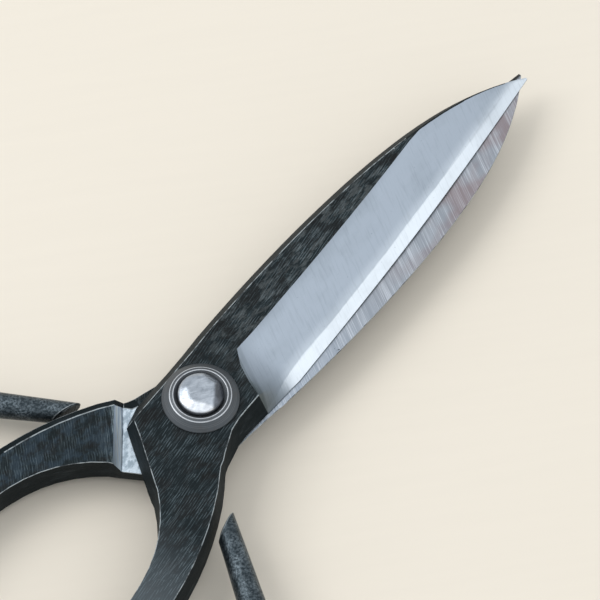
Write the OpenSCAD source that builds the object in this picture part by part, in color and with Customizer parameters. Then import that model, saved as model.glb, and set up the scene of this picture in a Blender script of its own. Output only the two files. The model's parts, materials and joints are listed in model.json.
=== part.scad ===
// Hand-forged garden shears with one-sided bevels, a hammered rivet and large finger loops.
// Each half is one forging: blade, pivot plate, shank and loop. The second half is the first one turned over
// about the long axis. Millimetres. +X runs to the tips, +Z is up, and Z = 0 is the rivet's flat back face.

/* [Blade] */
// Distance from the pivot to the blade tips
blade_l = 85.4; // [82:0.1:90]
// Greatest distance from the long axis to the spine
spine_w = 10.4; // [10:0.1:11]
// Distance along the blade to the widest place of the spine
spine_x = 32; // [28:1:36]
// Distance from the long axis to the cutting edge at the heel
heel_w = 8.8; // [8.4:0.1:9.2]
// How far the cutting edge bellies out past a straight line
edge_belly = 0.8; // [0:0.1:1.2]
// Slope of the bevel at the heel, rise over run
bevel_heel = 0.42; // [0.40:0.01:0.46]
// Slope of the bevel at the tip, rise over run
bevel_tip = 0.495; // [0.46:0.005:0.52]
// Height of the blunt land at the cutting edge
edge_land = 0.2; // [0.15:0.05:0.3]
// Thickness of the hard steel layer, above the joint plane
steel_t = 1.1; // [1:0.05:1.2]
// Depth of the hollow in the blade's inner face
hollow = 0.3; // [0:0.05:0.4]

/* [Plate] */
// Thickness of each half at the pivot
plate_t = 4.7; // [4.5:0.1:5]
// Gap between the two halves
joint_gap = 0.1; // [0.06:0.02:0.2]
// Lean of the spine's side wall, run over rise
spine_lean = 0.5; // [0.45:0.01:0.55]

/* [Handle] */
// How far each shank reaches past the joint plane
shank_drop = 2; // [1.6:0.1:2.2]
// Thickness of the loop's bar
bar_d = 6.2; // [5.8:0.1:6.4]
// Extra half width of the shank where it leaves the plate
shank_flare = 2.5; // [2.2:0.1:2.6]
// Thickness of the loop's bar at its free end
bar_end_d = 4; // [3.8:0.1:4.4]
// Slant of the loop's cut end
end_slant = 1.1; // [0.8:0.1:1.3]
// Length of the ground facet where the shank leaves the joint plane
facet_l = 1.5; // [1:0.1:1.8]
// Width of the bevel along the shank's outer edge, on the joint side
brink_w = 1.2; // [0.8:0.1:1.4]
// Height of that bevel
brink_h = 0.45; // [0.3:0.05:0.6]

/* [Pivot] */
// Diameter of the rivet's shaft
rivet_d = 6; // [5.8:0.1:6.2]
// Radial running clearance around the rivet
run_gap = 0.04; // [0.02:0.01:0.08]
// Outer diameter of the washers
washer_d = 13; // [12.6:0.1:13.4]
// Height of the washers
washer_t = 1.76; // [1.7:0.02:1.9]
// Radius of the countersunk mouth of the washers
mouth_r = 4.55; // [4.4:0.05:4.6]
// Height of the rivet's front head above the plate
head_t = 3; // [2.8:0.1:3.2]
// Height of the rivet's back head above the plate
back_head_t = 2; // [1.9:0.1:2.2]
// Opening angle shown
opening = 0; // [0:1:65]

/* [Hidden] */
joint_z = back_head_t + plate_t;
skin_z = joint_gap / 2;
tip_cut = 0.1;
heel_x = 15;
steel_x = 9;
spine_rise = 1.5;
edge_tip_w = 0.9;
tip_fall = spine_w + 0.5;
ridge_w = 0.25;
blade_rings = 26;
sides = 16;

// Points spread evenly from a towards b, without b
function side(a, b) = [for (i = [0:3]) a + (b - a) * i / 4];
function up(p, z) = [p.x, p.y, z];

// Blade outline, as distances from the long axis
function tipward(x) = max(0, (x - spine_x) / (blade_l - spine_x));
function spine(x) = spine_w - spine_rise * pow(max(0, 1 - max(0, x) / spine_x), 2)
                    - tip_fall * (pow(tipward(x), 2) + pow(tipward(x), 5)) / 2;
function along(x) = (x - heel_x) / (blade_l - heel_x);
function edge(x) = -heel_w + (heel_w - edge_tip_w) * along(x) - edge_belly * sin(180 * along(x));
function slope(x) = bevel_heel + (bevel_tip - bevel_heel) * x / blade_l;
function lean(x) = spine_lean + 0.0012 * x;
function top_z(x) = min(plate_t,
    (edge_land + slope(x) * (spine(x) - edge(x) - ridge_w)) / (1 + slope(x) * lean(x)));
function hollow_z(x) = skin_z + hollow * sin(180 * min(1, max(0, (x - 18) / 60)));

// One ring of a blade section: spine wall, flat, bevel, edge strip and hollow inner face
function blade_ring(x) = let (
    z = top_z(x),
    foot = [x, spine(x), skin_z],
    crown = [x, spine(x) - lean(x) * z, z],
    ridge = [x, edge(x) + (z - edge_land) / slope(x), z],
    rim = [x, edge(x), edge_land],
    strip = rim + (ridge - rim) * 0.27,
    sole = [x, edge(x), skin_z]
) concat(
    side(foot, crown),
    [crown],
    [for (i = [0:2]) ridge + (strip - ridge) * i / 3],
    [for (i = [0:3]) strip + (rim - strip) * i / 3],
    [sole],
    [for (i = [1:3]) up(sole + (foot - sole) * i / 4, skin_z + (hollow_z(x) - skin_z) * sin(45 * i))]
);

// The joint face's side of a ring: the bevelled outer edge, then the face up to its far corner
function joint_face(sole, edge, foot) = concat([sole], [for (i = [0:2]) edge + (foot - edge) * i / 3]);

// One ring of the plate, from its four corners, with a share f of the outer edge's bevel
function plate_ring(c, f) = let (
    crown = up(c[0], plate_t),
    foot = up(c[1], skin_z),
    brow = up(c[2], plate_t),
    sole = up(c[3], skin_z + brink_h * f),
    edge = up(c[3] + (c[1] - c[3]) / norm(c[1] - c[3]) * brink_w * 1.5 * f, skin_z)
) concat(side(foot, crown), side(crown, brow), side(brow, sole), joint_face(sole, edge, foot));

// Plate stations between the bevel and the shank: crown, foot, brow and sole
plate_stations = [
    [[6, 6.9], [6, 9.3], [4.4, -7], [4.5, -8.8]],
    [[1.5, 6.65], [1.5, 9], [1.4, -7.2], [1.4, -8.8]],
    [[-2.5, 6.4], [-2.2, 8.9], [-1, -7.7], [-1, -9.1]],
    [[-6.3, 6.2], [-6.4, 8.7], [-3.1, -8.7], [-3.2, -9.8]],
    [[-10, 6], [-10.3, 7.5], [-5, -9.6], [-5.1, -10.3]],
    [[-11.7, 3.1], [-12.1, 4.8], [-6.2, -10.3], [-6.3, -10.8]]
];

// Where the bevel runs out into the plate's top face
plunge_x = 10.6;
plunge_foot = [plunge_x, spine(plunge_x), skin_z];
plunge_crown = [plunge_x, spine(plunge_x) - lean(plunge_x) * plate_t, plate_t];
plunge = concat(
    side(plunge_foot, plunge_crown),
    [plunge_crown],
    [for (p = [[10.5, 1.5], [9.1, -0.9], [7.7, -3.9], [6.7, -6.9]]) up(p, plate_t)],
    [for (i = [1:4]) [6.7, -6.9, plate_t] + ([6.9, -8.8, skin_z] - [6.7, -6.9, plate_t]) * i / 4],
    [for (i = [1:3]) [6.9, -8.8, skin_z] + (plunge_foot - [6.9, -8.8, skin_z]) * i / 4]
);
heel_ring = blade_ring(heel_x);
function runout(f) = [for (k = [0:sides - 1]) let (
    p = heel_ring[k] + (plunge[k] - heel_ring[k]) * f
) up(p, heel_ring[k].z + (plunge[k].z - heel_ring[k].z) * pow(f, 2.2))];

// Route of the loop's bar, as arcs of [radius, turn in degrees, steps], or [0, length, steps] when straight
route_start = [-11.8, -7.2, 45, 0];
route = [
    [38, -67, 14], [0, 24.2, 4], [45, 38, 6], [15.1, 84, 11],
    [20, 50, 6], [97.8, 30, 6], [41, 57.4, 8], [0, 15, 3]
];
function move(p, m) = let (h = p[2] + m[1] / 2)
    [p[0] - cos(h) * m[0], p[1] - sin(h) * m[0], p[2] + m[1], p[3] + m[0]];
moves = [for (a = route) for (j = [1:a[2]]) a[0] == 0 ? [a[1] / a[2], 0]
    : [2 * a[0] * sin(abs(a[1]) / a[2] / 2), a[1] / a[2]]];
path = [for (
    i = 0, p = route_start;
    i <= len(moves);
    p = move(p, moves[min(i, len(moves) - 1)]), i = i + 1
) p];
bar_l = path[len(path) - 1][3];

// One ring of the bar: a forged rectangle that turns into a round rod
function bar_hw(s) = min(bar_d / 2, bar_end_d / 2 + 0.024 * (bar_l - s))
    + shank_flare * pow(max(0, 1 - s / 24), 2);
function bar_ring(p, low, slant = 0, shrink = 1) = let (
    s = p[3],
    hw = bar_hw(s) * shrink,
    mid = (plate_t - shank_drop) / 2,
    thin = min(1, max(0, (s - 20) / 40)),
    hh = ((plate_t + shank_drop) / 2 * (1 - thin) + bar_hw(s) * thin) * shrink,
    round_part = min(1, max(0, (s - 22) / 36)),
    draft = (low < 0 ? 0.8 : 1.1) * max(0, 1 - s / 30),
    face_r = hw + 0.2 * max(0, 1 - s / 30) - brink_w * 0.6 * (1 - thin),
    foot = [-hw - draft, low],
    crown = [-hw, mid + hh],
    brow = [hw, mid + hh],
    sole = [face_r + brink_w * (1 - thin), low + brink_h * (1 - thin)],
    square = concat(
        side(foot, crown), side(crown, brow), side(brow, sole),
        joint_face(sole, [face_r, low], foot)
    ),
    along_bar = [-cos(p[2]), -sin(p[2])],
    across = [sin(p[2]), -cos(p[2])]
) [for (k = [0:sides - 1]) let (
    turn = 225 - 360 * k / sides,
    disc = [hw * cos(turn), mid + hh * sin(turn)],
    q = square[k] + (disc - square[k]) * round_part,
    xy = [p[0], p[1]] + across * q.x + along_bar * q.x * slant
) [xy.x, xy.y, q.y]];
function bar_low(s) = let (thin = min(1, max(0, (s - 20) / 40)))
    (plate_t - shank_drop) / 2 - ((plate_t + shank_drop) / 2 * (1 - thin) + bar_hw(s) * thin);

facet_slant = -0.09;
facet_in = bar_ring(move(route_start, [-0.2, 0]), skin_z, facet_slant);
facet_out = bar_ring(move(route_start, [facet_l - 0.2, 0]), -shank_drop, facet_slant);
tail = len(path) - 1;

rings = concat(
    [for (i = [0:blade_rings]) blade_ring(
        heel_x + (blade_l - tip_cut - heel_x) * (1 - pow(i / blade_rings, 1.35))
    )],
    [for (f = [0.25, 0.5, 0.72, 0.88]) runout(f)],
    [plunge],
    [for (i = [0:5]) plate_ring(plate_stations[i], min(1, (i + 1) / 4))],
    [facet_in, facet_out],
    [for (i = [1:tail]) bar_ring(path[i], bar_low(path[i][3]), -end_slant * max(0, i - tail + 3) / 3)],
    [bar_ring(move(path[tail], [0.35, 0]), bar_low(bar_l), -end_slant, 0.82)]
);

// Skin over the rings, with the first and last ring closed
module loft(r) {
    n = len(r);
    polyhedron(
        points = [for (ring = r) each ring],
        faces = concat(
            [[for (k = [sides - 1:-1:0]) k]],
            [for (i = [0:n - 2]) for (k = [0:sides - 1]) let (m = (k + 1) % sides) each [
                [i * sides + k, (i + 1) * sides + m, (i + 1) * sides + k],
                [i * sides + k, i * sides + m, (i + 1) * sides + m]
            ]],
            [[for (k = [0:sides - 1]) (n - 1) * sides + k]]
        )
    );
}

module bore(h) {
    cylinder(h = h, r = rivet_d / 2 + run_gap, center = true, $fn = 96);
}

module steel_zone() {
    translate([steel_x, -20, -1]) cube([blade_l, 40, 1 + steel_t]);
}

module iron() {
    difference() {
        loft(rings);
        bore(4 * plate_t);
        steel_zone();
    }
}

module edge_steel() {
    intersection() {
        loft(rings);
        steel_zone();
    }
}

module in_upper() {
    translate([0, 0, joint_z]) rotate([0, 0, opening]) children();
}

module in_lower() {
    translate([0, 0, joint_z]) rotate([180, 0, 0]) children();
}

// Washer standing on z = 0, with a coned outside and a countersunk mouth
module washer() {
    rotate_extrude($fn = 120)
        polygon([
            [rivet_d / 2 + run_gap, 0.02],
            [washer_d / 2, 0.02],
            [washer_d / 2, 0.3],
            [mouth_r + 0.6, washer_t - 0.26],
            [mouth_r, washer_t],
            [rivet_d / 2 + run_gap, washer_t - mouth_r + rivet_d / 2 + run_gap]
        ]);
}

// Half profile of a hammered head that fills the washer's mouth, h above the plate, as [radius, height]
function head(h, flat_r) = let (mouth = washer_t - mouth_r) [
    [rivet_d / 2, mouth + rivet_d / 2 + 0.05],
    [3.8, mouth + 3.85],
    [3.85, mouth + 3.85 + (h - mouth - 3.85) * 0.3],
    [flat_r + (3.85 - flat_r) * 0.7, mouth + 3.85 + (h - mouth - 3.85) * 0.72],
    [flat_r + (3.85 - flat_r) * 0.3, h - 0.12],
    [flat_r, h],
    [0, h]
];

module lower_half() {
    color("#2b2d30") in_lower() iron();
}

module upper_half() {
    color("#34373b") in_upper() iron();
}

module lower_edge_steel() {
    color("#b9bec4") in_lower() edge_steel();
}

module upper_edge_steel() {
    color("#dfe3e6") in_upper() edge_steel();
}

module front_washer() {
    color("#8b8e90") translate([0, 0, joint_z + plate_t]) washer();
}

module back_washer() {
    color("#8b8e90") translate([0, 0, joint_z - plate_t]) rotate([180, 0, 0]) washer();
}

module pivot_rivet() {
    front = [for (p = head(head_t, 2.3)) [p.x, joint_z + plate_t + p.y]];
    back = [for (p = head(back_head_t, 3.2)) [p.x, joint_z - plate_t - p.y]];
    color("#c9ccd0") rotate_extrude($fn = 120)
        polygon(concat(front, [for (i = [len(back) - 1:-1:0]) back[i]]));
}

lower_half();
lower_edge_steel();
pivot_rivet();
back_washer();
front_washer();
upper_half();
upper_edge_steel();
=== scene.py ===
"""Looks for forged garden shears: black iron, ground bevels, honed edges and a hammered rivet."""

import json
import math

import bmesh
import bpy
from mathutils import Matrix, Vector, noise

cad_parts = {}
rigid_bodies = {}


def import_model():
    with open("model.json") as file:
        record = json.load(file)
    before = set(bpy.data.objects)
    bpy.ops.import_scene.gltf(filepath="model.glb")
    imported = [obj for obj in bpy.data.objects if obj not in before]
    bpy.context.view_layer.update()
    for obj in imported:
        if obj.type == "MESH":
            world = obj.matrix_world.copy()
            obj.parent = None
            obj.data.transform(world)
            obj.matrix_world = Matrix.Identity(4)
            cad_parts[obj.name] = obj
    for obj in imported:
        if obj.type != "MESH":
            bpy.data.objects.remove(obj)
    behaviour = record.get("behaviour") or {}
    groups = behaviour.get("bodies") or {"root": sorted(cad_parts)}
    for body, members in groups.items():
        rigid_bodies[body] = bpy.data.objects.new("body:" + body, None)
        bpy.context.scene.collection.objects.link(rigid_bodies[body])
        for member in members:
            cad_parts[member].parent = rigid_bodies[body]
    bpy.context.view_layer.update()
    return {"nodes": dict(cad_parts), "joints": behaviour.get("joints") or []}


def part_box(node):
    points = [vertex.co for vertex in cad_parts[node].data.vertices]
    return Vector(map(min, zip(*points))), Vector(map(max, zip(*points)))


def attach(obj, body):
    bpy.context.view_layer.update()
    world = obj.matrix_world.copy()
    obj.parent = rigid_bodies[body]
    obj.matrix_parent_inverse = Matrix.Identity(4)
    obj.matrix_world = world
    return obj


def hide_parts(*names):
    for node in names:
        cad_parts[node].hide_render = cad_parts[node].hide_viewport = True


bl_info = {
    "name": "Forged Garden Shears",
    "version": (1, 0, 0),
    "blender": (4, 5, 0),
    "location": "View3D > Sidebar > Shears",
    "description": "Builds the finished surfaces of a pair of forged garden shears around their frame",
    "category": "Object",
}

for leftover in list(bpy.data.objects):
    bpy.data.objects.remove(leftover)
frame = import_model()

MM = 0.001
# Cosine of 45 degrees
DIAGONAL = 0.7071
# Which way up each half lies
HALVES = {"upper": 1, "lower": -1}

# Height of the joint plane above the surface that the shears lie on
JOINT_Z = frame["joints"][0]["pos_m"][2]
# A half's own layout has that plane at 0, its top face up, its spine towards +Y and its tip towards +X.
# Levels in it: top of the plate, joint face of the shank, and top of the hard steel
PLATE_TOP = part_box("upper_half")[1].z - JOINT_Z
SHANK_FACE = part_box("upper_half")[0].z - JOINT_Z
STEEL_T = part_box("upper_edge_steel")[1].z - JOINT_Z

# The bevel begins at a leaning line: where it crosses the axis, its lean, and the cosine of that lean
PLUNGE_X = 9.81 * MM
PLUNGE_LEAN = 0.46
PLUNGE_COS = 0.91
# The loop's bar ends beyond a sloping line
ROD_SLOPE = 0.45
ROD_LINE = 10.15 * MM
# The square shank becomes a round bar between these distances behind the pivot
BAR_FROM = 32 * MM
BAR_TO = 46 * MM

# Rivet and washers: mouth of a washer's dish and top of the rivet
MOUTH_R = 4.55 * MM
HEAD_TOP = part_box("pivot_rivet")[1].z


# ---------------------------------------------------------------- settings

class ForgeSettings(bpy.types.PropertyGroup):
    """Colours and sizes of the forged and ground surfaces."""
    black: bpy.props.FloatVectorProperty(
        name="Forge black", description="Colour of the iron's black forge skin",
        subtype="COLOR", size=3, min=0, max=1, default=(0.0036, 0.0080, 0.0100))
    bare: bpy.props.FloatVectorProperty(
        name="Bare iron", description="Colour of iron where the skin is worn or scratched through",
        subtype="COLOR", size=3, min=0, max=1, default=(0.36, 0.46, 0.51))
    satin: bpy.props.FloatVectorProperty(
        name="Bevel", description="Colour of the ground bevel",
        subtype="COLOR", size=3, min=0, max=1, default=(0.36, 0.41, 0.475))
    honed: bpy.props.FloatVectorProperty(
        name="Honed edge", description="Colour of the hard steel along the cutting edge",
        subtype="COLOR", size=3, min=0, max=1, default=(0.75, 0.81, 0.87))
    inner: bpy.props.FloatVectorProperty(
        name="Inner face", description="Colour of the ground faces between the halves",
        subtype="COLOR", size=3, min=0, max=1, default=(0.33, 0.36, 0.405))
    arris: bpy.props.FloatProperty(
        name="Worn arris", description="Width of the wear along the forging's edges",
        unit="LENGTH", min=0.00005, max=0.0004, default=0.00011)
    dent: bpy.props.FloatProperty(
        name="Hammer dents", description="Depth of the hammer's dents in the loops",
        unit="LENGTH", min=0, max=0.0004, default=0.00016)


class PivotSettings(bpy.types.PropertyGroup):
    """Colours and sizes of the rivet and its washers."""
    washer: bpy.props.FloatVectorProperty(
        name="Washer", description="Colour of the turned washers",
        subtype="COLOR", size=3, min=0, max=1, default=(0.094, 0.105, 0.116))
    rim: bpy.props.FloatVectorProperty(
        name="Rim", description="Colour of the washers' bright rims",
        subtype="COLOR", size=3, min=0, max=1, default=(0.52, 0.54, 0.57))
    rivet: bpy.props.FloatVectorProperty(
        name="Rivet", description="Colour of the hammered rivet",
        subtype="COLOR", size=3, min=0, max=1, default=(0.41, 0.45, 0.505))
    rim_width: bpy.props.FloatProperty(
        name="Rim width", description="Width of the polish on the washers' rims",
        unit="LENGTH", min=0.00005, max=0.0003, default=0.0001)


class StageSettings(bpy.types.PropertyGroup):
    """Floor, light and camera."""
    floor: bpy.props.FloatVectorProperty(
        name="Floor", description="Colour of the floor",
        subtype="COLOR", size=3, min=0, max=1, default=(0.785, 0.72, 0.622))
    key: bpy.props.FloatProperty(
        name="Key light", description="Power of the large soft light",
        subtype="POWER", min=0, max=200, default=5.3)
    fill: bpy.props.FloatProperty(
        name="Fill light", description="Strength of the light from all round",
        min=0, max=3, default=0.80)
    lens: bpy.props.FloatProperty(
        name="Lens", description="Focal length of the camera, in millimetres", min=50, max=400, default=300)


# ---------------------------------------------------------------- shader maths

# Numbers of the Mix node's sockets for colours
MIX_FACTOR, MIX_FIRST, MIX_SECOND = 0, 6, 7
MIX_COLOUR = 2
# Heights of the finishes' bumps
FORGE_BUMP = 0.07 * MM
NICK_BUMP = 0.04 * MM
GRIND_BUMP = 0.03 * MM


class Value:
    """A shader socket that takes part in plain arithmetic."""

    def __init__(self, finish, socket):
        self.finish = finish
        self.socket = socket

    def math(self, operation, *others):
        """The value put through a Math node."""
        made = self.finish.node("ShaderNodeMath", {"operation": operation}, [self, *others])
        return Value(self.finish, made.outputs[0])

    def __add__(self, other):
        return self.math("ADD", other)

    __radd__ = __add__

    def __mul__(self, other):
        return self.math("MULTIPLY", other)

    __rmul__ = __mul__

    def __sub__(self, other):
        return self.math("SUBTRACT", other)

    def __rsub__(self, other):
        return (self * -1) + other

    def sine(self):
        """The sine of the value."""
        return self.math("SINE")

    def highest(self, other):
        """The higher of two values."""
        return self.math("MAXIMUM", other)

    def rise(self, low, high):
        """0 below low, 1 above high, and smooth between them."""
        made = self.finish.node(
            "ShaderNodeMapRange", {"interpolation_type": "SMOOTHSTEP"},
            {"Value": self, "From Min": low, "From Max": high, "To Min": 0.0, "To Max": 1.0})
        return Value(self.finish, made.outputs["Result"])


class Finish:
    """A procedural metal finish on object coordinates."""

    def __init__(self, name):
        self.material = bpy.data.materials.new(name)
        self.material.use_nodes = True
        self.tree = self.material.node_tree
        self.tree.nodes.clear()
        self.shader = self.node("ShaderNodeBsdfPrincipled")
        self.node("ShaderNodeOutputMaterial", sockets={"Surface": self.shader.outputs[0]})
        self.place = self.node("ShaderNodeTexCoord").outputs["Object"]
        parts = self.node("ShaderNodeSeparateXYZ", sockets=[self.place])
        self.x, self.y, self.z = (Value(self, socket) for socket in parts.outputs)

    def feed(self, socket, value):
        """Links a socket to a value that comes from a node, and sets it to any other value."""
        if isinstance(value, Value):
            value = value.socket
        if isinstance(value, bpy.types.NodeSocket):
            self.tree.links.new(value, socket)
        else:
            socket.default_value = value

    def node(self, kind, settings=None, sockets=None):
        """Adds a node, sets it up, and gives its sockets values or links."""
        made = self.tree.nodes.new(kind)
        for key, value in (settings or {}).items():
            setattr(made, key, value)
        pairs = sockets.items() if isinstance(sockets, dict) else enumerate(sockets or [])
        for key, value in pairs:
            self.feed(made.inputs[key], value)
        return made

    def noise(self, size, detail=3.0, rough=0.55, turn=0.0, shift=0.0):
        """Noise whose grains measure size, in mm along each axis, after a turn about Z in degrees."""
        turned = self.node(
            "ShaderNodeMapping", {"vector_type": "POINT"},
            {"Vector": self.place, "Rotation": (0, 0, math.radians(turn)), "Location": (shift, shift, 0)})
        scaled = self.node(
            "ShaderNodeMapping", {"vector_type": "POINT"},
            {"Vector": turned.outputs[0], "Scale": tuple(1 / (length * MM) for length in size)})
        made = self.node("ShaderNodeTexNoise", sockets={
            "Vector": scaled.outputs[0], "Scale": 1.0, "Detail": detail, "Roughness": rough})
        return Value(self, made.outputs["Fac"])

    def own(self, side):
        """The place across and up in a half's own layout."""
        return self.y * side, (self.z - JOINT_Z) * side

    def bar(self):
        """0 on the square shank, 1 on the loop's round bar."""
        return (self.x * -1).rise(BAR_FROM, BAR_TO)

    def mix(self, first, second, factor):
        """A colour between two colours."""
        made = self.node("ShaderNodeMix", {"data_type": "RGBA"}, {MIX_FACTOR: factor})
        for key, colour in ((MIX_FIRST, first), (MIX_SECOND, second)):
            linked = isinstance(colour, bpy.types.NodeSocket)
            self.feed(made.inputs[key], colour if linked else (*colour, 1))
        return made.outputs[MIX_COLOUR]

    def bump(self, height, distance, strength):
        """A bumped normal. Distance is in metres for a height of 1."""
        made = self.node("ShaderNodeBump", sockets={
            "Strength": strength, "Distance": distance, "Height": height})
        return made.outputs[0]

    def finish(self, **sockets):
        """Sets the shader's sockets, named with underscores for spaces, and returns the material."""
        for key, value in sockets.items():
            self.feed(self.shader.inputs[key.replace("_", " ")], value)
        return self.material


def scratches(f, turn, length, width, bar, shift=0.0):
    """Fine straight scratches, sized in mm: 1 in a scratch and 0 outside. A higher bar leaves fewer."""
    lines = f.noise((length, width, 20), detail=1.5, rough=0.4, turn=turn, shift=shift)
    return lines.rise(bar, bar + 0.09)


SCALE_DARK = (0.028, 0.038, 0.045)
SCALE_WORN = (0.150, 0.182, 0.205)
SCALE_SPECK = (0.30, 0.35, 0.39)


class BarScale:
    """Rubbed scale on the loop's round bar: dark, pebbled and faintly glossy, with paler worn patches."""

    def __init__(self, f):
        pebbles = f.noise((0.4, 0.4, 0.4), detail=3, rough=0.6)
        patches = f.noise((3, 3, 3), detail=4, rough=0.6).rise(0.42, 0.64)
        specks = f.noise((0.7, 0.7, 0.7), detail=2).rise(0.62, 0.74) * patches
        skin = f.mix(SCALE_DARK, SCALE_WORN, pebbles.rise(0.36, 0.66) * (patches * 0.6 + 0.4))
        self.colour = f.mix(skin, SCALE_SPECK, specks * 0.5)
        self.metallic = 0.8
        self.roughness = 0.29 + patches * 0.1
        self.height = pebbles * 3.2 + patches * 0.8


SOOT = (0.005, 0.0052, 0.0052)
WORN_BLACK = (0.016, 0.028, 0.034)
BALD_GREY = (0.085, 0.094, 0.096)
# Lighter top of the shank: more scratches there, together with a painted sheen
SHANK_GREY_AND_SHEEN = (0.110, 0.130, 0.145)
HEAT_BLUE = (0.020, 0.035, 0.050)
HATCH_PITCH = 0.42 * MM
SCRATCH_TURNS = {"upper": -6, "lower": -46}


def forge_black(name, side, turn):
    """Black forge skin: fine scratches on the plate and shank, rubbed scale on the loop's round bar."""
    settings = bpy.context.scene.shears_forge
    f = Finish(name)
    own_y, own_z = f.own(side)
    behind = f.x * -1
    on_rod = (f.x * ROD_SLOPE - own_y).rise(ROD_LINE, ROD_LINE + 0.5 * MM) * behind.rise(4 * MM, 8 * MM)
    bar = f.bar().highest(on_rod)
    off = 1 - bar
    blotch = f.noise((3.6, 2.6, 4), detail=4, rough=0.6).rise(0.46, 0.60)
    grain = f.noise((0.3, 0.3, 0.3), detail=3)
    lines = f.noise((8, 0.11, 4), detail=2, rough=0.5, turn=turn)
    crossed = f.noise((5, 0.09, 4), detail=2, rough=0.5, turn=turn + 7, shift=0.3)
    bearing = math.radians(turn - 4)
    across = f.x * math.sin(bearing) + f.y * math.cos(bearing)
    swerve = f.noise((6, 2, 4), detail=2)
    hatch = (across * (2 * math.pi / HATCH_PITCH) + swerve * 7).sine().rise(0.45, 1.0)
    kept = f.noise((1.6, 0.6, 4), detail=3, turn=turn).rise(0.42, 0.58)
    stray = scratches(f, turn + 68, 4, 0.1, 0.72, shift=0.7)
    worn = f.noise((5, 4, 6), detail=3).rise(0.34, 0.64)
    fine = (lines.rise(0.58, 0.72) * 0.8).highest(crossed.rise(0.58, 0.72) * 0.7).highest(hatch * kept * 0.85)
    fine = (fine * (worn * 0.6 + 0.4)).highest(stray * 0.6) * off * (1 - blotch * 0.35)
    outward = (f.x + own_y) * -DIAGONAL
    low_down = 1 - own_z.rise(-1 * MM, 0.0)
    by_facet = (1 - outward.rise(14.4 * MM, 18 * MM)) * low_down
    close_by = 1 - outward.rise(13.4 * MM, 15.6 * MM)
    rubbed = (lines + close_by * 0.2).rise(0.50, 0.68) * by_facet
    dark = f.mix(settings.black, SOOT, blotch * 0.8)
    skin = f.mix(dark, WORN_BLACK, grain.rise(0.46, 0.72) * 0.25 + worn * 0.12)
    on_blade = f.x.rise(3 * MM, 14 * MM)
    bald = f.noise((2.4, 0.8, 4), detail=4, rough=0.7, turn=3).rise(0.44, 0.60)
    skin = f.mix(skin, BALD_GREY, bald * (1 - blotch * 0.9) * on_blade * 0.55)
    # Scratches and painted sheen: the top face grows lighter towards the loop
    skin = f.mix(skin, SHANK_GREY_AND_SHEEN, behind.rise(18 * MM, 36 * MM) * (1 - low_down) * 0.6)
    uneven = f.noise((1.3, 1.3, 4), detail=4, rough=0.6).rise(0.38, 0.62)
    blued = f.noise((3.2, 2.4, 4), detail=4, rough=0.65, shift=0.5).rise(0.42, 0.60)
    skin = f.mix(skin, HEAT_BLUE, blued * low_down * off * 0.7)
    hatched = fine * (0.30 - low_down * 0.12) + rubbed * (uneven * 0.32 + close_by * 0.14 + 0.10)
    colour = f.mix(skin, settings.bare, hatched)
    loop = BarScale(f)
    height = (grain * 0.5 + blotch * 0.2 - fine * 0.5) * off + loop.height * bar
    return f.finish(
        Base_Color=f.mix(colour, loop.colour, bar),
        Metallic=(fine * 0.4 + 0.25) * off + bar * loop.metallic,
        Roughness=(0.52 + grain * 0.14 - worn * 0.1) * off + loop.roughness * bar,
        Specular_IOR_Level=0.2,
        Normal=f.bump(height, FORGE_BUMP, 0.6))


SIDE_GREY = (0.009, 0.014, 0.017)
# Painted reflection of the floor's light, laid on the walls' lower part
PAINTED_FLOOR_LIGHT = (0.085, 0.088, 0.074)


def forge_side(name):
    """Sides left as they came from the hammer: black, rough and hardly scratched, with painted floor light
    low down.
    """
    settings = bpy.context.scene.shears_forge
    f = Finish(name)
    swell = f.noise((4, 4, 1.2), detail=3)
    grain = f.noise((0.4, 0.4, 0.4), detail=4)
    rub = f.noise((3, 3, 0.16), detail=2).rise(0.60, 0.74) * swell.rise(0.5, 0.65)
    # Painted reflection: the walls grow lighter towards the floor, as if lit from it
    foot = 1 - f.z.rise(0.8 * MM, 2.8 * MM)
    colour = f.mix(settings.black, SIDE_GREY, swell.rise(0.42, 0.66))
    colour = f.mix(colour, PAINTED_FLOOR_LIGHT, foot * (swell * 0.5 + 0.3))
    colour = f.mix(colour, settings.bare, rub * 0.16)
    loop = BarScale(f)
    bar = f.bar()
    off = 1 - bar
    return f.finish(
        Base_Color=f.mix(colour, loop.colour, bar),
        Metallic=off * 0.2 + bar * loop.metallic,
        Roughness=(0.6 + grain * 0.15) * off + loop.roughness * bar,
        Specular_IOR_Level=0.14,
        Normal=f.bump((grain + swell) * off + loop.height * bar, FORGE_BUMP, 0.6))


ARRIS_BARE = (0.36, 0.40, 0.42)
ARRIS_BLACK = (0.03, 0.037, 0.042)


def worn_arris(name):
    """Bare iron along an edge, with the black skin left in places."""
    f = Finish(name)
    left = f.noise((2.2, 2.2, 2.2), detail=4, rough=0.65).rise(0.44, 0.64)
    nicks = f.noise((0.5, 0.5, 0.5), detail=2).rise(0.60, 0.70)
    skin = left.highest(nicks * 0.6)
    return f.finish(
        Base_Color=f.mix(ARRIS_BARE, ARRIS_BLACK, skin),
        Metallic=0.6 - skin * 0.3,
        Roughness=0.5 + skin * 0.15,
        Normal=f.bump(nicks * -1, NICK_BUMP, 0.5))


# Dark colour for the bevel's painted shade and its grinding marks
BEVEL_SHADE = (0.075, 0.095, 0.10)


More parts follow.
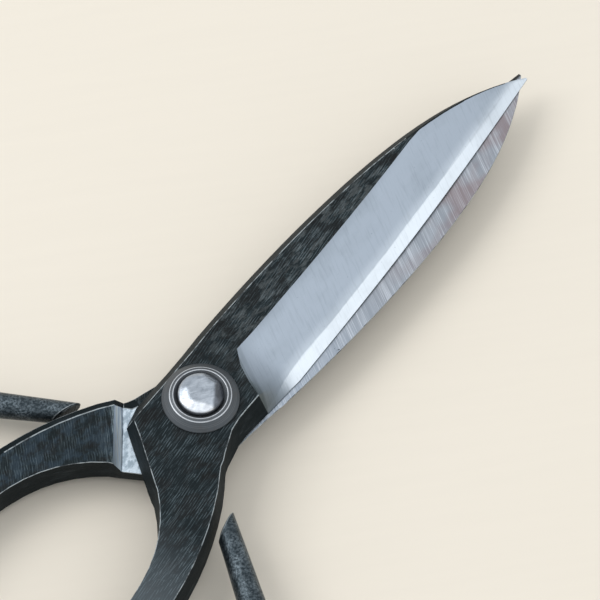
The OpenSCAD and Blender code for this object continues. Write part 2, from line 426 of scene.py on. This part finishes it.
def ground_bevel(name, side):
    """Ground bevel: satin iron above, near-white hard steel along the edge, dull and dark by the heel.
    Painted shade stands for a narrow hollow along the line where the wheel ran out, and a painted shadow runs
    along the cutting edge."""
    settings = bpy.context.scene.shears_forge
    f = Finish(name)
    own_y, own_z = f.own(side)
    grind = f.noise((20, 0.12, 1), detail=2)
    cloud = f.noise((9, 5, 10), detail=4)
    chatter = f.noise((0.35, 4, 4), detail=3, turn=24)
    specks = f.noise((0.6, 0.6, 0.6), detail=1).rise(0.76, 0.80)
    from_plunge = (f.x - own_y * PLUNGE_LEAN - PLUNGE_X) * PLUNGE_COS
    # Painted shade: a darker band just past the plunge line stands for a hollow, with a thinner darker line
    # right at the line
    hollow = 1 - from_plunge.rise(0.8 * MM, 1.4 * MM)
    brink = 1 - from_plunge.rise(0.02 * MM, 0.25 * MM)
    heel = (1 - f.x.rise(7.5 * MM, 14.5 * MM)) * (1 - own_y.rise(-8.5 * MM, -1.5 * MM))
    shade = hollow * 0.24 + brink * 0.3 + heel * 0.66
    shade = shade + cloud.rise(0.44, 0.7) * 0.12 + chatter.rise(0.48, 0.74) * 0.12 + specks * 0.2
    near_tip = f.x.rise(58 * MM, 80 * MM)
    along = f.x.rise(10.5 * MM, 15.5 * MM)
    seam = own_z + (cloud - 0.5) * (0.35 * MM)
    blur = near_tip * (0.32 * MM)
    low = STEEL_T - 0.06 * MM - blur
    high = STEEL_T + 0.06 * MM + blur
    strip = (1 - seam.rise(low, high)) * (0.75 - near_tip * 0.45)
    glow = (1 - seam.rise(STEEL_T - near_tip * (0.5 * MM), STEEL_T + 0.8 * MM)) * (0.25 + near_tip * 0.2)
    # Painted shadow: a thin dark line along the cutting edge, for the gap between the blades
    edge_gap_shadow = 1 - own_z.rise(0.07 * MM, 0.17 * MM)
    colour = f.mix(settings.satin, settings.honed, (strip + glow) * along)
    colour = f.mix(colour, BEVEL_SHADE, shade + edge_gap_shadow * 0.7)
    return f.finish(
        Base_Color=colour,
        Metallic=0.92 - strip * 0.4,
        Roughness=0.33 + grind * 0.14 + heel * 0.08,
        Normal=f.bump(grind * 0.6 + chatter * 0.5, GRIND_BUMP, 0.35))


ROSY_GREY = (0.30, 0.255, 0.27)
HEEL_BLUE = (0.36, 0.41, 0.48)
LINE_BRIGHT = (0.80, 0.84, 0.90)
CLOUD_DARK = (0.36, 0.45, 0.52)
CLOUD_BRIGHT = (0.78, 0.88, 0.96)
FACET_DARK = (0.42, 0.53, 0.66)
FACET_BRIGHT = (0.90, 0.98, 1.0)
# Painted shade at the blade's tip
TIP_PAINTED_SHADE = (0.045, 0.045, 0.043)


def ground_face(name, side):
    """Ground joint face: fine lines across the blade, a pinkish cast by the tip and a few black pits.
    The plate's part is cloudy, and the facet behind it is bright and runs out into the black skin. The very
    tip carries painted shade."""
    settings = bpy.context.scene.shears_forge
    f = Finish(name)
    own_y, own_z = f.own(side)
    lines = f.noise((0.17, 12, 10), detail=3, rough=0.6, turn=29)
    bands = f.noise((1.2, 20, 10), detail=2, turn=29).rise(0.40, 0.68)
    rosy = f.noise((9, 6, 10), detail=2).rise(0.40, 0.62) * f.x.rise(30 * MM, 60 * MM)
    pits = f.noise((1.1, 0.8, 1), detail=3).rise(0.735, 0.76)
    base = f.mix(settings.inner, ROSY_GREY, rosy)
    base = f.mix(base, HEEL_BLUE, 1 - f.x.rise(12 * MM, 42 * MM))
    bright = lines.rise(0.48, 0.68) * (0.5 - rosy * 0.22) + bands * (0.16 - rosy * 0.08)
    lined = f.mix(base, LINE_BRIGHT, bright)
    clouds = f.noise((1.3, 0.8, 2), detail=4, rough=0.65, turn=-20).rise(0.40, 0.62)
    outward = (f.x + own_y) * -DIAGONAL
    streaks = f.noise((6, 0.3, 4), detail=3, turn=-42)
    sloping = outward.rise(12.5 * MM, 13.6 * MM) * (1 - own_z.rise(-0.35 * MM, -0.05 * MM))
    fading = (outward * 300 + streaks * 1.1 - 4.34).rise(0.30, 0.90) * sloping
    plate = 1 - f.x.rise(-4 * MM, 0.0)
    worked = f.mix(CLOUD_DARK, CLOUD_BRIGHT, clouds)
    lined = f.mix(lined, worked, plate * (1 - sloping) * 0.85)
    slope = f.mix(FACET_DARK, FACET_BRIGHT, streaks.rise(0.38, 0.62))
    lined = f.mix(lined, slope, sloping * 0.9)
    # Painted shade: the inner face's tip beyond the other blade is darkened
    tip = f.x.rise(81 * MM, 82.5 * MM) * (1 - own_y.rise(-0.7 * MM, -0.2 * MM))
    colour = f.mix(lined, TIP_PAINTED_SHADE, tip)
    colour = f.mix(colour, settings.black, fading * 0.8 + pits * (1 - plate))
    return f.finish(
        Base_Color=colour,
        Metallic=0.85 - pits * 0.6 - sloping * 0.65,
        Roughness=0.34 + lines * 0.16,
        Normal=f.bump(lines - pits, GRIND_BUMP, 0.4))


WASHER_DIRT = (0.09, 0.09, 0.09)
WASHER_RING = (0.34, 0.34, 0.35)
RINGS_PER_M = 9000


def turned_grey(name):
    """Turned washer steel gone matt grey, with rings round the rivet and a little dirt."""
    settings = bpy.context.scene.shears_pivot
    f = Finish(name)
    radius = (f.x * f.x + f.y * f.y).math("SQRT")
    rings = f.node("ShaderNodeTexNoise", {"noise_dimensions": "1D"}, {
        "W": radius * RINGS_PER_M, "Scale": 1.0, "Detail": 2.0})
    ring = Value(f, rings.outputs["Fac"])
    dirt = f.noise((1.6, 1.6, 1.6), detail=4).rise(0.45, 0.72)
    grain = f.noise((0.25, 0.25, 0.25), detail=2)
    colour = f.mix(settings.washer, WASHER_DIRT, dirt * 0.5)
    colour = f.mix(colour, WASHER_RING, ring.rise(0.55, 0.8) * 0.35)
    return f.finish(
        Base_Color=colour,
        Metallic=0.75,
        Roughness=0.42 + grain * 0.16,
        Normal=f.bump(ring * 0.6 + grain * 0.4, GRIND_BUMP, 0.5))


RIM_DULL = (0.30, 0.30, 0.31)


def bright_rim(name):
    """Rims of the washers, rubbed bright."""
    settings = bpy.context.scene.shears_pivot
    f = Finish(name)
    rub = f.noise((1.2, 1.2, 1.2), detail=3).rise(0.52, 0.72)
    colour = f.mix(settings.rim, RIM_DULL, rub * 0.6)
    return f.finish(Base_Color=colour, Metallic=0.5, Roughness=0.38 + rub * 0.15)


RIVET_CLOUD = (0.24, 0.27, 0.31)
RIVET_SMEAR = (0.80, 0.85, 0.92)
# Painted highlight for the head's bright crescent on its side towards -X
RIVET_PAINTED_HIGHLIGHT = (0.92, 0.95, 1.0)
RIVET_SHADE = (0.075, 0.08, 0.095)


def hammered_polish(name):
    """Rivet head: hammered, then rubbed to a cloudy polish, with a painted highlight towards -X and painted
    shade on one side and round its foot.
    """
    settings = bpy.context.scene.shears_pivot
    f = Finish(name)
    cloud = f.noise((1.4, 1, 1.2), detail=4, rough=0.6).rise(0.40, 0.70)
    rub = f.noise((4, 0.14, 1), detail=2, turn=58)
    smear = f.noise((2.2, 0.5, 1), detail=3, rough=0.6, turn=35).rise(0.44, 0.66)
    colour = f.mix(settings.rivet, RIVET_CLOUD, cloud * 0.7)
    colour = f.mix(colour, RIVET_SMEAR, smear * 0.25)
    # Painted highlight: one side of the head, towards -X, is brightened as if it reflected the lamp
    rubbed = (f.x * -0.90 - f.y * 0.43).rise(1.75 * MM, 2.3 * MM)
    colour = f.mix(colour, RIVET_PAINTED_HIGHLIGHT, rubbed * (0.9 - cloud * 0.35))
    # Painted shade: the side towards +X -Y and the foot of the head, by the washer, are darkened
    shaded = (f.x * 0.57 - f.y * 0.82).rise(2.0 * MM, 2.7 * MM)
    foot = 1 - f.z.rise(HEAD_TOP - 1.15 * MM, HEAD_TOP - 0.75 * MM)
    colour = f.mix(colour, RIVET_SHADE, shaded.highest(foot) * 0.82)
    return f.finish(
        Base_Color=colour,
        Metallic=0.9,
        Roughness=0.28 + cloud * 0.12 + rub * 0.1,
        Normal=f.bump(cloud * 0.8 + smear * 0.4 + rub * 0.3, FORGE_BUMP, 0.5))


# ---------------------------------------------------------------- modelling helpers

def pick(piece):
    """Makes a piece the active one and the only selected one."""
    bpy.ops.object.select_all(action="DESELECT")
    piece.select_set(True)
    bpy.context.view_layer.objects.active = piece


def open_for_edit(piece):
    """Opens a piece for editing with nothing selected in it."""
    pick(piece)
    bpy.ops.object.mode_set(mode="EDIT")
    bpy.ops.mesh.select_mode(type="EDGE")
    bpy.ops.mesh.select_all(action="DESELECT")


def close_edit():
    """Leaves edit mode."""
    bpy.ops.object.mode_set(mode="OBJECT")


def apply(piece, kind, **settings):
    """Adds a modifier and applies it."""
    pick(piece)
    made = piece.modifiers.new(kind.lower(), kind)
    for key, value in settings.items():
        setattr(made, key, value)
    bpy.ops.object.modifier_apply(modifier=made.name)


MERGE = 0.002 * MM
FLAT_ANGLE = math.radians(1.5)
QUAD_ANGLE = math.radians(60)


def take_over(node, name):
    """Copies a frame node's mesh, merges its loose triangles and joins them to quads where they lie flat."""
    piece = bpy.data.objects.new(name, frame["nodes"][node].data.copy())
    piece.data.materials.clear()
    bpy.context.scene.collection.objects.link(piece)
    open_for_edit(piece)
    bpy.ops.mesh.select_all(action="SELECT")
    bpy.ops.mesh.customdata_custom_splitnormals_clear()
    bpy.ops.mesh.remove_doubles(threshold=MERGE)
    bpy.ops.mesh.tris_convert_to_quads(face_threshold=FLAT_ANGLE, shape_threshold=QUAD_ANGLE)
    bpy.ops.mesh.select_all(action="DESELECT")
    close_edit()
    return piece


def own(point, side):
    """A point in a half's own layout."""
    return Vector((point.x, point.y * side, (point.z - JOINT_Z) * side))


def own_dir(direction, side):
    """A direction in a half's own layout."""
    return Vector((direction.x, direction.y * side, direction.z * side))


def edge_middle(edge, side):
    """The middle of an edge in its half's own layout."""
    return own((edge.verts[0].co + edge.verts[1].co) / 2, side)


def edge_run(edge):
    """The direction in which an edge runs."""
    return (edge.verts[1].co - edge.verts[0].co).normalized()


def dress(piece, side, slot_of, materials):
    """Gives a piece its finishes, and each face the one whose number slot_of(face, side) returns."""
    for material in materials:
        piece.data.materials.append(material)
    open_for_edit(piece)
    mesh = bmesh.from_edit_mesh(piece.data)
    for face in mesh.faces:
        face.material_index = slot_of(face, side)
    bmesh.update_edit_mesh(piece.data)
    close_edit()


def soften(piece, chosen, width, slot, segments=2):
    """Rounds the edges for which chosen(edge) is true, and gives the new faces a material slot."""
    open_for_edit(piece)
    mesh = bmesh.from_edit_mesh(piece.data)
    for edge in mesh.edges:
        edge.select = bool(len(edge.link_faces) == 2 and chosen(edge))
    bmesh.update_edit_mesh(piece.data)
    bpy.ops.mesh.bevel(
        offset=width, segments=segments, profile=0.5, affect="EDGES", clamp_overlap=False, material=slot)
    close_edit()


def smooth(piece, angle):
    """Smooth shading up to an angle, with the flat faces kept flat."""
    pick(piece)
    bpy.ops.object.shade_smooth_by_angle(angle=math.radians(angle))
    apply(piece, "WEIGHTED_NORMAL", mode="FACE_AREA", weight=90, keep_sharp=True)


# ---------------------------------------------------------------- forged halves

SKIN, BEVEL, ARRIS, GROUND, SIDE = range(5)

# Faces that meet at more than this make a sharp edge, and along the plate's brink less is enough
SHARP = math.radians(30)
BRINK_SHARP = math.radians(13)
SMOOTH_ANGLE = 28

# Within this of the joint plane counts as on it
NEAR = 0.1 * MM
# Radii round the pivot: the bore's edges, and the ground facet's near and far ends
BORE_EDGE_R = 4 * MM
FACET_NEAR_R = 11 * MM
FACET_FAR_R = 17 * MM
# Across the shank, the facet's middle lies this far aside of a diagonal through the pivot, and it reaches
# this far from its middle. Along the diagonal, its crossing edges have x + y below the last value.
FACET_ASIDE = 3.25 * MM
FACET_REACH = 5.2 * MM
FACET_SUM = -16 * MM
# Places along X in a half's own layout
SIDE_END = -47 * MM
BRINK_FROM = -26 * MM
BRINK_TO = 5 * MM
PLATE_END = 6.5 * MM
HEEL_FROM = 6.6 * MM
PLUNGE_EDGE_FROM = 6.75 * MM
LAYER_FROM = 8.2 * MM
HEEL_TO = 16 * MM
SPINE_DARK_FROM = 57 * MM
TIP_FROM = 61 * MM
# The plunge line ends at the ridge, this far towards the spine
RIDGE_Y = 1.6 * MM
SPINE_DARK_WIDTH = 0.16 * MM
# Dents begin this far behind the pivot, are full this much further on, and come this often
DENT_FROM = 30 * MM
DENT_RISE = 25 * MM
DENTS_PER_M = 260
ROD_DENT = 0.7


def at_facet_level(spot):
    """True between the joint plane and the shank's face, where the ground facet steps down."""
    return SHANK_FACE - 0.05 * MM < spot.z < NEAR


def crosses_facet(edge, side):
    """True on the two edges that cross the shank at the ground facet."""
    middle = edge_middle(edge, side)
    run = own_dir(edge_run(edge), side)
    at_place = middle.x + middle.y < FACET_SUM and math.hypot(middle.x, middle.y) < FACET_FAR_R
    return at_facet_level(middle) and at_place and abs(run.x - run.y) * DIAGONAL > 0.9


def forging_edge(edge, side):
    """True on the forging's worn outer edges: not in the bore, along the steel layer or at the bevel."""
    middle = edge_middle(edge, side)
    by_brink = BRINK_FROM < middle.x < BRINK_TO and middle.z < NEAR and not on_rod(middle)
    if edge.calc_face_angle(0) < (BRINK_SHARP if by_brink else SHARP):
        return False
    climbs_brink = by_brink and abs(edge_run(edge).z) > 0.25
    in_bore = math.hypot(middle.x, middle.y) < BORE_EDGE_R
    by_steel = middle.x > LAYER_FROM and abs(middle.z) < STEEL_T + 0.3 * MM
    at_tip = middle.x > TIP_FROM
    at_plunge = middle.x > PLUNGE_EDGE_FROM and middle.y < RIDGE_Y
    return not (climbs_brink or in_bore or by_steel or at_tip or at_plunge or crosses_facet(edge, side))


def on_bevel(face, middle, normal, side):
    """True on the ground bevel, whose heel ends at the plunge line."""
    if HEEL_FROM < middle.x < HEEL_TO:
        past_plunge = middle.x > PLUNGE_X + PLUNGE_LEAN * middle.y - 0.4 * MM
        on_top = all(own(vertex.co, side).z > PLATE_TOP - 0.02 * MM for vertex in face.verts)
        return past_plunge and middle.y < RIDGE_Y + 0.02 * MM and normal.z > -0.5 and not on_top
    return middle.x > HEEL_TO and -0.5 < normal.z < 0.985 and normal.y < 0.15


def on_facet(middle, normal):
    """True on the short ground slope from the plate's joint face down to the shank."""
    at_place = FACET_NEAR_R < math.hypot(middle.x, middle.y) < FACET_FAR_R
    sideways = (middle.x - middle.y) * DIAGONAL + FACET_ASIDE
    faces_pivot = normal.z < -0.5 and (normal.x + normal.y) * DIAGONAL > 0.3
    return at_facet_level(middle) and at_place and faces_pivot and sideways < FACET_REACH


def forging_slot(face, side):
    """Which finish a face of a half carries."""
    middle = own(face.calc_center_median(), side)
    normal = own_dir(face.normal, side)
    if on_bevel(face, middle, normal, side):
        return BEVEL
    flat_down = normal.z < (-0.985 if middle.x < PLATE_END else -0.9)
    if on_facet(middle, normal) or (flat_down and abs(middle.z) < 0.9 * MM):
        return GROUND
    if abs(normal.z) < 0.97 and middle.x > SIDE_END and not on_rod(middle):
        return SIDE
    return SKIN


def spine_at_tip(edge, side):
    """True along the spine near the tip, where the bevel has reached it."""
    middle = edge_middle(edge, side)
    on_spine = middle.x > SPINE_DARK_FROM and middle.z > 1.3 * MM and middle.y > 0
    return on_spine and edge.calc_face_angle(0) > SHARP


def on_rod(spot):
    """True by the free end of the loop's bar."""
    return spot.x < -6 * MM and ROD_SLOPE * spot.x - spot.y > ROD_LINE


def hammer(piece, side, depth):
    """Presses shallow, uneven dents into the loop's bar and the lower part of the shank."""
    for vertex in piece.data.vertices:
        spot = own(vertex.co, side)
        reach = ROD_DENT if on_rod(spot) else min(1.0, max(0.0, (-spot.x - DENT_FROM) / DENT_RISE))
        dent = 0.5 + 0.5 * noise.noise(vertex.co * DENTS_PER_M + Vector((3.1 * side, 0, 0)))
        vertex.co -= vertex.normal * depth * reach * dent


def forge_half(body, node, piece_name):
    """Finishes one forging: slots, worn arrises, hammer dents and shading."""
    side = HALVES[body]
    settings = bpy.context.scene.shears_forge
    piece = take_over(node, piece_name)
    dress(piece, side, forging_slot, (
        forge_black(f"forge_black_{body}", side, SCRATCH_TURNS[body]),
        ground_bevel(f"ground_bevel_{body}", side),
        worn_arris(f"worn_arris_{body}"),
        ground_face(f"ground_face_{body}", side),
        forge_side(f"forge_side_{body}"),
    ))
    soften(piece, lambda edge: spine_at_tip(edge, side), SPINE_DARK_WIDTH, SIDE, segments=1)
    soften(piece, lambda edge: forging_edge(edge, side), settings.arris, ARRIS)
    hammer(piece, side, settings.dent)
    smooth(piece, SMOOTH_ANGLE)
    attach(piece, body)
    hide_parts(node)


# ---------------------------------------------------------------- hard steel layers

HONED, INNER, BURR, RIM_SKIN = range(4)
BURR_FROM = 10 * MM
BURR_TO = 80 * MM
BURR_WIDTH = 0.12 * MM


def steel_slot(face, side):
    """Which finish a face of the hard steel layer carries."""
    normal = own_dir(face.normal, side)
    if normal.z < -0.9:
        return INNER
    if normal.y > 0.3 or normal.z < 0.3:
        return RIM_SKIN
    return HONED


def spine_burr(edge, side):
    """True along the spine's foot, where the inner face's grinding left a burr."""
    middle = edge_middle(edge, side)
    at_foot = abs(middle.z) < NEAR and middle.y > 1 * MM and BURR_FROM < middle.x < BURR_TO
    return at_foot and edge.calc_face_angle(0) > SHARP


def lay_edge_steel(body, node, piece_name):
    """Finishes the hard steel layer of one blade."""
    side = HALVES[body]
    piece = take_over(node, piece_name)
    dress(piece, side, steel_slot, (
        ground_bevel(f"honed_edge_{body}", side),
        ground_face(f"inner_face_{body}", side),
        worn_arris(f"spine_burr_{body}"),
        forge_side(f"layer_rim_{body}"),
    ))
    soften(piece, lambda edge: spine_burr(edge, side), BURR_WIDTH, BURR, segments=1)
    smooth(piece, SMOOTH_ANGLE)
    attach(piece, body)
    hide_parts(node)


# ---------------------------------------------------------------- turned pieces

# Washers
HOLE_R = 3.04 * MM
RIM_TALL = 0.26 * MM
CONE_FOOT_R = 6.3 * MM
CONE_FOOT_Z = 0.46 * MM
LIP = 0.6 * MM
OUTER_ROUND = 0.08 * MM
# Rivet
SHAFT_R = 3 * MM
HEAD_R = 3.8 * MM
BACK_FACE_R = 3.05 * MM
BACK_ROUND_R = 3.45 * MM
PLAY = 0.02 * MM
SEAT_GAP = 0.05 * MM
CROWN_R = 3.84 * MM
CROWN_END_R = 0.02 * MM
CROWN_RINGS = 22
# Share of the head's height in its straight side and in its crown
SIDE_SHARE = 0.55
CROWN_SHARE = 0.415
# The hammer's small knocks, and its blows, whose flats blend over this height
KNOCKS_PER_M = 700
KNOCK_DEPTH = 0.02 * MM
BLEND = 0.11 * MM
BLOWS = (
    # bearing of the blow in degrees, distance of its face from the axis in mm, slope
    (152, 1.8, 0.34),
    (198, 2.2, 0.46),
    (-122, 2.2, 0.48),
    (-88, 2.35, 0.55),
    (-42, 2.3, 1.1),
    (2, 2.5, 0.95),
    (50, 2.7, 0.7),
    (98, 2.4, 0.45),
)


def turned(name, profile, steps=128, ring=False):
    """Models a turned piece as by hand: a circle, extruded and resized from one profile point to the next.
    A ring's profile comes back to its start. Otherwise both ends are closed."""
    (radius, height), *others = profile
    bpy.ops.object.select_all(action="DESELECT")
    bpy.ops.mesh.primitive_circle_add(
        vertices=steps, radius=radius, location=(0, 0, height), fill_type="NOTHING" if ring else "NGON")
    piece = bpy.context.object
    piece.name = name
    bpy.ops.object.transform_apply(location=True, rotation=True, scale=True)
    bpy.ops.object.mode_set(mode="EDIT")
    bpy.ops.mesh.select_mode(type="EDGE")
    bpy.ops.mesh.select_all(action="SELECT")
    disc = not ring
    for next_radius, next_height in others:
        lift = {"value": (0, 0, next_height - height)}
        if disc:
            bpy.ops.mesh.extrude_region_move(TRANSFORM_OT_translate=lift)
            disc = False
        else:
            bpy.ops.mesh.extrude_edges_move(TRANSFORM_OT_translate=lift)
        factor = next_radius / radius
        bpy.ops.transform.resize(value=(factor, factor, 1), center_override=(0, 0, next_height))
        radius, height = next_radius, next_height
    bpy.ops.mesh.select_all(action="SELECT")
    bpy.ops.mesh.remove_doubles(threshold=0.001 * MM)
    bpy.ops.mesh.normals_make_consistent(inside=False)
    bpy.ops.mesh.select_all(action="DESELECT")
    close_edit()
    return piece


def turned_edge(edge, low, high, angle):
    """True on a turned piece's rim between two radii, where its faces meet at more than an angle."""
    radii = (math.hypot(*vertex.co.xy) for vertex in edge.verts)
    return edge.calc_face_angle(0) > math.radians(angle) and all(low < radius < high for radius in radii)


def mouth_edge(edge):
    """True on the two rims of a washer's lip."""
    return turned_edge(edge, MOUTH_R - 0.15 * MM, MOUTH_R + LIP + 0.15 * MM, 9)


def make_washer(node, piece_name, up):
    """A coned washer with two bright rims, up the right way (1) or turned over (-1)."""
    settings = bpy.context.scene.shears_pivot
    low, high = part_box(node)
    outer = high.x
    foot = low.z if up > 0 else high.z
    tall = high.z - low.z
    section = [
        (HOLE_R, 0),
        (outer, 0),
        (outer, RIM_TALL),
        (CONE_FOOT_R, CONE_FOOT_Z),
        (MOUTH_R + LIP, tall - RIM_TALL),
        (MOUTH_R, tall),
        (HOLE_R, tall - (MOUTH_R - HOLE_R)),
        (HOLE_R, 0)]
    piece = turned(piece_name, [(radius, foot + up * z) for radius, z in section], ring=True)
    piece.data.materials.append(turned_grey(f"{piece_name}_grey"))
    piece.data.materials.append(bright_rim(f"{piece_name}_rim"))
    soften(piece, mouth_edge, settings.rim_width, 1, segments=3)
    soften(piece, lambda edge: turned_edge(edge, outer - 0.1 * MM, outer + 0.5 * MM, 30), OUTER_ROUND, 0)
    smooth(piece, 40)
    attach(piece, "lower")
    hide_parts(node)


def soft_min(first, second):
    """The lower of two heights, blended where they come close."""
    share = max(0.0, min(1.0, 0.5 + (second - first) / (4 * BLEND)))
    return second + (first - second) * share - BLEND * share * (1 - share)


def strike(x, y, top):
    """Height of the flats left by the hammer's blows round a rivet's head."""
    height = top
    for bearing, distance, slope in BLOWS:
        turn = math.radians(bearing)
        reach = x * math.cos(turn) + y * math.sin(turn) - distance * MM
        height = soft_min(height, top - max(-0.3 * MM, reach) * slope)
    return height


def make_rivet(node, piece_name):
    """A rivet with a domed, hammered front head and a flatter back head."""
    low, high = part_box(node)
    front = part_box("front_washer")[0].z - PLAY
    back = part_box("back_washer")[1].z + PLAY
    head = high.z - front
    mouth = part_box("front_washer")[1].z - front - MOUTH_R
    profile = [
        (BACK_FACE_R, low.z),
        (BACK_ROUND_R, low.z + 0.1 * MM),
        (HEAD_R, low.z + 0.42 * MM),
        (HEAD_R, back - (mouth + HEAD_R + SEAT_GAP)),
        (SHAFT_R, back - (mouth + SHAFT_R + SEAT_GAP)),
        (SHAFT_R, front + mouth + SHAFT_R + SEAT_GAP),
        (HEAD_R, front + mouth + HEAD_R + SEAT_GAP)]
    for ring in range(CROWN_RINGS + 1):
        radius = CROWN_END_R + (CROWN_R - CROWN_END_R) * (1 - ring / CROWN_RINGS)
        crown = max(0.0, 1 - (radius / CROWN_R) ** 5) ** 0.5
        profile.append((radius, front + head * (SIDE_SHARE + CROWN_SHARE * crown)))
    piece = turned(piece_name, profile, steps=120)
    piece.data.materials.append(hammered_polish(f"{piece_name}_polish"))
    for vertex in piece.data.vertices:
        if vertex.co.z > front + 0.5 * head:
            blow = strike(vertex.co.x, vertex.co.y, front + (SIDE_SHARE + CROWN_SHARE) * head)
            knock = noise.noise(Vector((vertex.co.x * KNOCKS_PER_M, vertex.co.y * KNOCKS_PER_M, 9.1)))
            vertex.co.z = min(high.z, soft_min(vertex.co.z, blow) + KNOCK_DEPTH * knock)
    smooth(piece, 50)
    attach(piece, "lower")
    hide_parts(node)


# ---------------------------------------------------------------- stage

ROOM_LIGHT = (0.93, 0.97, 1.0, 1)
# Share of the key light's power, size in metres and place
LAMPS = {
    "key": (1.0, 0.7, (-0.38, 0.62, 0.86)),
    "sky": (0.4, 1.0, (0.27, -0.45, 1.0)),
}
# The camera's place above the joint plane, and the directions to its right and ahead of it
CAMERA_AT = (-0.2852, -0.2612, 0.7354 + JOINT_Z)
CAMERA_RIGHT = Vector((0.6435, -0.7655, 0)).normalized()
CAMERA_AHEAD = Vector((0.3711, 0.3120, -0.8746)).normalized()


def lay_floor():
    """Lays a large painted floor that the shears rest on."""
    settings = bpy.context.scene.shears_stage
    bpy.ops.object.select_all(action="DESELECT")
    bpy.ops.mesh.primitive_plane_add(size=6, location=(0, 0, 0))
    floor = bpy.context.object
    floor.name = "floor"
    f = Finish("floor_paint")
    fibres = f.noise((30, 2, 30), detail=3, turn=40)
    dark = tuple(share * 0.97 for share in settings.floor)
    floor.data.materials.append(f.finish(
        Base_Color=f.mix(settings.floor, dark, fibres),
        Roughness=0.75,
        Specular_IOR_Level=0.25))


def light_stage():
    """Lights the stage from all round and with two large soft lamps."""
    settings = bpy.context.scene.shears_stage
    world = bpy.data.worlds.new("soft_room")
    bpy.context.scene.world = world
    world.use_nodes = True
    background = world.node_tree.nodes["Background"]
    background.inputs["Color"].default_value = ROOM_LIGHT
    background.inputs["Strength"].default_value = settings.fill
    for name, (share, size, spot) in LAMPS.items():
        bpy.ops.object.light_add(type="AREA", location=spot)
        lamp = bpy.context.object
        lamp.name = name
        lamp.data.energy = settings.key * share
        lamp.data.size = size
        lamp.rotation_euler = (-Vector(spot)).to_track_quat("-Z", "Y").to_euler()


def aim_camera():
    """Places the camera where the shears are seen closed, from above the lower shank's side."""
    settings = bpy.context.scene.shears_stage
    bpy.ops.object.camera_add(location=CAMERA_AT)
    camera = bpy.context.object
    camera.data.lens = settings.lens
    camera.data.sensor_width = 36
    camera.data.clip_end = 20
    up = CAMERA_RIGHT.cross(CAMERA_AHEAD)
    camera.rotation_euler = Matrix((CAMERA_RIGHT, up, -CAMERA_AHEAD)).transposed().to_euler()
    bpy.context.scene.camera = camera
    bpy.context.scene.view_settings.view_transform = "Standard"


# ---------------------------------------------------------------- operators and panel

class SHEARS_OT_upper_half(bpy.types.Operator):
    """Forge the upper half's skin, bevel and worn edges"""
    bl_idname = "shears.upper_half"
    bl_label = "Upper half"

    def execute(self, context):
        forge_half("upper", "upper_half", "upper_forging")
        return {"FINISHED"}


class SHEARS_OT_lower_half(bpy.types.Operator):
    """Forge the lower half's skin, bevel and worn edges"""
    bl_idname = "shears.lower_half"
    bl_label = "Lower half"

    def execute(self, context):
        forge_half("lower", "lower_half", "lower_forging")
        return {"FINISHED"}


class SHEARS_OT_edge_steels(bpy.types.Operator):
    """Lay the hard steel under both blades"""
    bl_idname = "shears.edge_steels"
    bl_label = "Edge steels"

    def execute(self, context):
        lay_edge_steel("upper", "upper_edge_steel", "upper_cutting_steel")
        lay_edge_steel("lower", "lower_edge_steel", "lower_cutting_steel")
        return {"FINISHED"}


class SHEARS_OT_washers(bpy.types.Operator):
    """Turn the two coned washers"""
    bl_idname = "shears.washers"
    bl_label = "Washers"

    def execute(self, context):
        make_washer("front_washer", "front_coned_washer", 1)
        make_washer("back_washer", "back_coned_washer", -1)
        return {"FINISHED"}


class SHEARS_OT_rivet(bpy.types.Operator):
    """Hammer the rivet"""
    bl_idname = "shears.rivet"
    bl_label = "Rivet"

    def execute(self, context):
        make_rivet("pivot_rivet", "hammered_rivet")
        return {"FINISHED"}


class SHEARS_OT_stage(bpy.types.Operator):
    """Lay the floor, light it and aim the camera"""
    bl_idname = "shears.stage"
    bl_label = "Stage"

    def execute(self, context):
        lay_floor()
        light_stage()
        aim_camera()
        return {"FINISHED"}


OPERATORS = (
    SHEARS_OT_upper_half,
    SHEARS_OT_lower_half,
    SHEARS_OT_edge_steels,
    SHEARS_OT_washers,
    SHEARS_OT_rivet,
    SHEARS_OT_stage,
)


class SHEARS_PT_panel(bpy.types.Panel):
    """Lists the shears' settings and pieces"""
    bl_label = "Forged Garden Shears"
    bl_idname = "SHEARS_PT_panel"
    bl_space_type = "VIEW_3D"
    bl_region_type = "UI"
    bl_category = "Shears"

    def draw(self, context):
        for group in (context.scene.shears_forge, context.scene.shears_pivot, context.scene.shears_stage):
            for name in group.__annotations__:
                self.layout.prop(group, name)
        for operator in OPERATORS:
            self.layout.operator(operator.bl_idname)


GROUPS = {"shears_forge": ForgeSettings, "shears_pivot": PivotSettings, "shears_stage": StageSettings}


def register():
    """Adds the settings, operators and panel."""
    for group in GROUPS.values():
        bpy.utils.register_class(group)
    for name, group in GROUPS.items():
        setattr(bpy.types.Scene, name, bpy.props.PointerProperty(type=group))
    for operator in OPERATORS:
        bpy.utils.register_class(operator)
    bpy.utils.register_class(SHEARS_PT_panel)


def unregister():
    """Takes the panel, operators and settings away again."""
    bpy.utils.unregister_class(SHEARS_PT_panel)
    for operator in reversed(OPERATORS):
        bpy.utils.unregister_class(operator)
    for name in GROUPS:
        delattr(bpy.types.Scene, name)
    for group in reversed(GROUPS.values()):
        bpy.utils.unregister_class(group)


def main():
    """Builds everything in order."""
    register()
    bpy.ops.shears.upper_half()
    bpy.ops.shears.lower_half()
    bpy.ops.shears.edge_steels()
    bpy.ops.shears.washers()
    bpy.ops.shears.rivet()
    bpy.ops.shears.stage()


if __name__ == "__main__":
    main()
